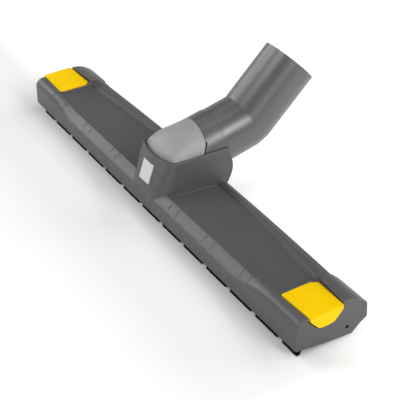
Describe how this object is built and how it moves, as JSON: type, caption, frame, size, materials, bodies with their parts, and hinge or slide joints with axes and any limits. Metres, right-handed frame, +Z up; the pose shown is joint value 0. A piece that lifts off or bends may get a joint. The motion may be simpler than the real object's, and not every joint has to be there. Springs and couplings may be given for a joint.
{
  "type": "vacuum floor brush head",
  "caption": "Long vacuum floor head with brush strips, yellow release keys, rollers and a tilting neck whose swivelling elbow takes a suction pipe.",
  "frame": {"origin": "on the floor, under the middle of the front brush strip's thickness and the middle of the head's length", "axes": "+X along the head to the end nearest the camera in the picture, +Y to the back, where the pipe leaves, +Z up"},
  "size_m": [0.403, 0.1458, 0.11],
  "materials": {
    "housing_grey": "fine satin moulding",
    "collar_grey": "fine satin moulding",
    "cover_grey": "light warm grey, satin",
    "elbow_grey": "half gloss moulding",
    "key_yellow": "satin yellow",
    "frame_black": "matt black",
    "carrier_black": "matt black",
    "bristle_black": "nylon bristle",
    "roller_black": "hard matt plastic",
    "ring_white": "natural plastic",
    "seal_black": "soft rubber",
    "pin_steel": "drawn wire",
    "spring_steel": "rolled strip",
    "label_white": "off-white, bare"
  },
  "bodies": {
    "head": {"housing": "housing_grey", "insert_frame": "frame_black", "front_brush_carrier": "carrier_black", "front_bristles": "bristle_black", "rear_brush_carrier": "carrier_black", "rear_bristles": "bristle_black", "key_pin_left": "pin_steel", "key_pin_right": "pin_steel", "key_spring_left": "spring_steel", "key_spring_right": "spring_steel", "roller_axle_left": "pin_steel", "roller_axle_right": "pin_steel", "label_plate": "label_white", "tilt_seal_front": "seal_black", "tilt_seal_rear": "seal_black"},
    "neck": {"knuckle": "collar_grey", "neck_cover": "cover_grey", "swivel_ring": "ring_white", "swivel_seal": "seal_black"},
    "elbow_body": {"elbow": "elbow_grey"},
    "key_left_body": {"key_left": "key_yellow"},
    "key_right_body": {"key_right": "key_yellow"},
    "roller_left_body": {"roller_left": "roller_black"},
    "roller_right_body": {"roller_right": "roller_black"}
  },
  "joints": [
    {"name": "neck_tilt", "type": "hinge", "parent": "head", "child": "neck", "pos_m": [0, 0.0384, 0.033], "axis": [1, 0, 0], "range_deg": [0, 34]},
    {"name": "elbow_swivel", "type": "hinge", "parent": "neck", "child": "elbow_body", "pos_m": [0, 0.0644, 0.04838], "axis": [0, 0.9659, 0.2588], "continuous": true},
    {"name": "key_left_press", "type": "hinge", "parent": "head", "child": "key_left_body", "pos_m": [-0.1932, 0.0182, 0.0224], "axis": [0, 1, 0], "range_deg": [0, 7], "stiffness_Nm_per_rad": 0.5, "springref_deg": -6.88, "deforming": ["key_spring_left"]},
    {"name": "key_right_press", "type": "hinge", "parent": "head", "child": "key_right_body", "pos_m": [0.1932, 0.0182, 0.0224], "axis": [0, -1, 0], "range_deg": [0, 7], "stiffness_Nm_per_rad": 0.5, "springref_deg": -6.88, "deforming": ["key_spring_right"]},
    {"name": "roller_left_spin", "type": "hinge", "parent": "head", "child": "roller_left_body", "pos_m": [-0.182, 0.0362, 0.0085], "axis": [1, 0, 0], "continuous": true},
    {"name": "roller_right_spin", "type": "hinge", "parent": "head", "child": "roller_right_body", "pos_m": [0.182, 0.0362, 0.0085], "axis": [1, 0, 0], "continuous": true}
  ]
}
